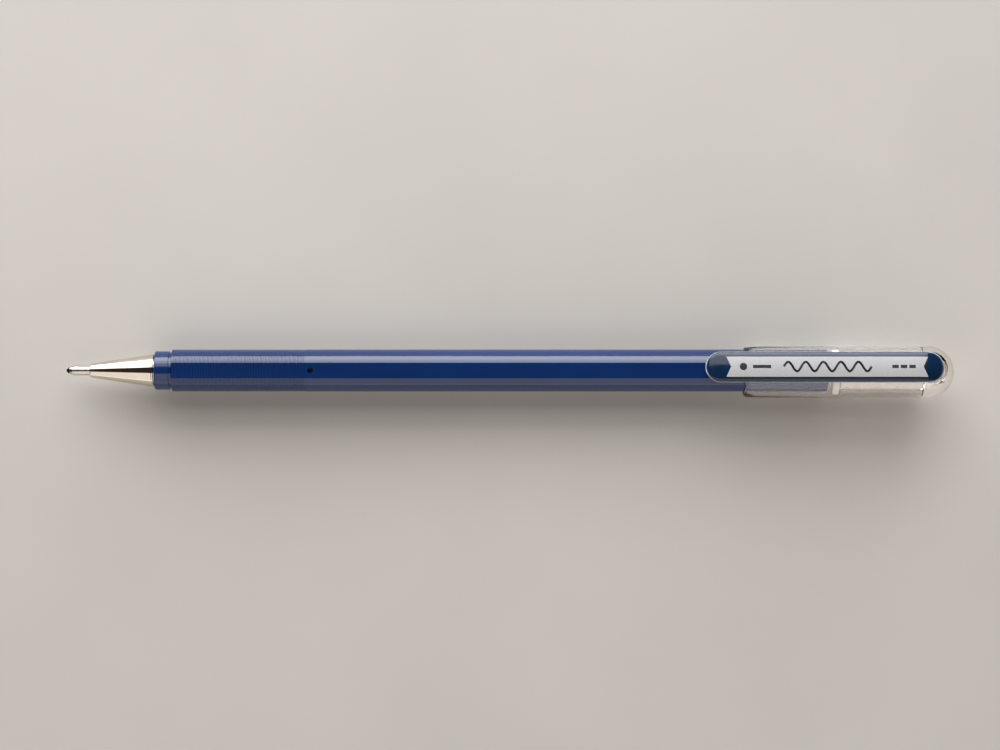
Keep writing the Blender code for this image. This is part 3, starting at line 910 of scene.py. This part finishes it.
def make_clip():
    """A crowned strip with half-round ends, a bead under its nose, a foot and a leg at its tail, and a clear
    base layer whose fine ledge round it is painted pale, a painted highlight along the clip's edge."""
    bm = clip_plan(CLIP_LEDGE)
    for share in (0.1, 0.2, 0.3, 0.4):
        widest = max(bm.faces, key=lambda f: f.calc_area())
        bmesh.ops.inset_region(bm, faces=[widest], thickness=CLIP_EDGE * share, use_boundary=True)
    across_the_ends(bm)
    sliced(bm, 1, [CLIP_WIDTH / 2 * 0.25 * i for i in range(-3, 4)])
    thickened(bm, clip_over, clip_under)
    look = moulded_navy_clip()
    belongs(solid("pocket_clip", bm, CAP, 35), look, "clip", "clip_resin", "clip")

    # The ledge round the clip is painted pale as a painted highlight along its edge.
    ledge = clip_plan(0)
    hidden = 0.1
    bmesh.ops.inset_region(ledge, faces=ledge.faces[:], thickness=CLIP_LEDGE + hidden, use_boundary=True)
    inner = max(ledge.faces, key=lambda f: f.calc_area())
    bmesh.ops.delete(ledge, geom=[inner], context="FACES")
    across_the_ends(ledge)
    thickened(ledge, ledge_over, lambda x, y: ledge_over(x, y) - LEDGE_THICKNESS)
    belongs(solid("clip_ledge", ledge, CAP, 35), painted_highlight_ledge(), "clip", "clip_resin")

    low = (HINGE_X - LEG_LENGTH / 2, -LEG_WIDTH / 2, FOOT_UNDER - LEG_DROP)
    high = (HINGE_X + LEG_LENGTH / 2, LEG_WIDTH / 2, FOOT_UNDER + 0.2)
    leg = brick(low, high)
    rounding = {"offset": LEG_BEVEL, "segments": 3, "profile": 0.5, "affect": "EDGES", "material": -1}
    bmesh.ops.bevel(leg, geom=leg.edges[:], **rounding)
    belongs(solid("clip_leg", leg, CAP), look, "clip", "clip_resin")


def printed(name, outlines, lift, look):
    """Flat (x, y) outlines laid on the clip's top as one thin film of ink, sunk a little into it."""
    bm = bmesh.new()
    for outline in outlines:
        bm.faces.new([bm.verts.new((x, y, 0)) for x, y in outline])
    low = min(v.co.x for v in bm.verts)
    high = max(v.co.x for v in bm.verts)
    sliced(bm, 0, [low + PRINT_STEP * i for i in range(1, int((high - low) / PRINT_STEP) + 1)])
    sliced(bm, 1, [PRINT_STEP * i for i in range(-3, 4)])
    thickened(bm, lambda x, y: clip_over(x, y) + lift, lambda x, y: clip_over(x, y) - PRINT_THICKNESS)
    belongs(solid(name, bm, CAP), look, "clip", "clip_resin")


def band_outline(start, end, middle):
    """A plain ribbon with a notch in each end."""
    corners = [(start, -BAND_HALF), (end, -BAND_HALF), (end - BAND_NOTCH, 0)]
    corners += [(end, BAND_HALF), (start, BAND_HALF), (start + BAND_NOTCH, 0)]
    return [(x, y + middle) for x, y in corners]


def sample_outlines(start):
    """A wavy writing sample as a run of short four-sided outlines."""
    steps = SAMPLE_TURNS * SAMPLE_STEPS
    points = []
    for i in range(steps + 1):
        share = i / steps
        wave = SAMPLE_WAVE * math.sin(math.tau * SAMPLE_TURNS * share)
        points.append(Vector((start + SAMPLE_LENGTH * share, BAND_MIDDLE + wave)))
    edges = []
    for i, point in enumerate(points):
        ahead = points[min(i + 1, steps)] - points[max(i - 1, 0)]
        across = Vector((-ahead.y, ahead.x)).normalized() * SAMPLE_WIDTH / 2
        edges.append((point - across, point + across))
    return [[a[:], c[:], d[:], b[:]] for (a, b), (c, d) in zip(edges, edges[1:])]


def make_clip_print():
    """A white ribbon with a dark edge under it, and plain marks: a dot, bars and a writing sample."""
    white = pad_printed_white()
    black = pad_printed_black()
    start = CLIP_X + BAND_START
    end = CLIP_END - BAND_END
    shade = band_outline(start + SHADE_BACK, end + SHADE_BACK, BAND_MIDDLE - SHADE_DROP)
    printed("print_band_shade", [shade], SHADE_LIFT, black)
    printed("print_band", [band_outline(start, end, BAND_MIDDLE)], BAND_LIFT, white)
    dot = arc((start + DOT_X, BAND_MIDDLE), (DOT_R, DOT_R), 0, 360, 24)[:-1]
    bars = []
    low = BAND_MIDDLE - BAR_HALF
    high = BAND_MIDDLE + BAR_HALF
    places = [(start + LONG_BAR_X, LONG_BAR_LENGTH)] + [(end - x, SHORT_BAR_LENGTH) for x in SHORT_BARS_X]
    for x, length in places:
        bars.append([(x, low), (x + length, low), (x + length, high), (x, high)])
    printed("print_marks", [dot, *bars], MARK_LIFT, black)
    printed("print_sample", sample_outlines(start + SAMPLE_X), MARK_LIFT, black)


# ---- Floor, lamps and camera ----


def make_floor():
    """The pale board that the pen lies on."""
    bm = bmesh.new()
    bmesh.ops.create_grid(bm, x_segments=1, y_segments=1, size=FLOOR_HALF)
    floor = solid("floor", bm, Matrix.Identity(4))
    floor.data.materials.append(matt_painted_floor())


def softbox(name, side, angles, ends, radiance, tint):
    """A softbox that faces the pen from one side (1 or -1). It reaches between two angles, in degrees down
    from straight above, and between two ends along the pen."""
    lean = math.radians(sum(angles) / 2) * side
    width = ends[1] - ends[0]
    height = 2 * LAMP_DISTANCE * math.tan(math.radians(angles[1] - angles[0]) / 2)
    lamp = bpy.data.lights.new(name, "AREA")
    lamp.shape = "RECTANGLE"
    lamp.size = width
    lamp.size_y = height
    lamp.energy = radiance * math.pi * width * height
    lamp.color = colour(tint)[:3]
    made = bpy.data.objects.new(name, lamp)
    made.location = (sum(ends) / 2, LAMP_DISTANCE * math.sin(lean), LAMP_DISTANCE * math.cos(lean))
    made.rotation_euler = (-lean, 0, 0)
    bpy.context.scene.collection.objects.link(made)


def make_world():
    """A dim room above and a pale one low down."""
    world = bpy.data.worlds.new("room")
    bpy.context.scene.world = world
    world.use_nodes = True
    tree = world.node_tree
    tree.nodes.clear()
    where = add(tree, "TexCoord").outputs["Generated"]
    height = add(tree, "SeparateXYZ", links={"Vector": where}).outputs["Z"]
    low = spread(tree, height, 1.0, 0.0, (0.1, 0.2))
    paint = blended(tree, low, "302C28", "D8D4CE")
    shade = add(tree, "Background", links={"Color": paint})
    add(tree, "OutputWorld", links={"Surface": shade.outputs["Background"]})


def make_camera():
    """Straight above the pen, and a little to the point's side of its middle."""
    low, high = (Vector(corner) for corner in cad_box)
    lens = bpy.data.cameras.new("camera")
    lens.sensor_width = CAMERA_SENSOR
    lens.lens = CAMERA_LENS
    lens.clip_end = 20
    camera = bpy.data.objects.new("camera", lens)
    middle = (low + high) / 2
    camera.location = (middle.x - CAMERA_FORWARD * MM, middle.y - CAMERA_ASIDE * MM, CAMERA_HEIGHT)
    bpy.context.scene.collection.objects.link(camera)
    bpy.context.scene.camera = camera


make_camera()
make_world()
make_floor()
softbox("key_softbox", 1, (58, 84), KEY_ENDS, 6.2, "FCFCFE")
softbox("middle_key_softbox", 1, (43, 58), KEY_ENDS, 4.4, "FFFCFA")
softbox("upper_key_softbox", 1, (23.5, 43), KEY_ENDS, 2.0, "FFFCFA")
softbox("fill_softbox", -1, (19, 84), FILL_ENDS, 1.05, "FFF8F0")
bpy.context.scene.view_settings.view_transform = "Standard"

make_ball()
make_point()
make_ink()
repaint_refill()
cone = make_nose_cone()
make_cone_thread(cone.data.materials[0])
barrel = make_barrel()
make_tail_plug(barrel.data.materials[0])
make_cap_shell()
make_inner_seal()
make_tip_stopper()
make_clip()
make_clip_print()
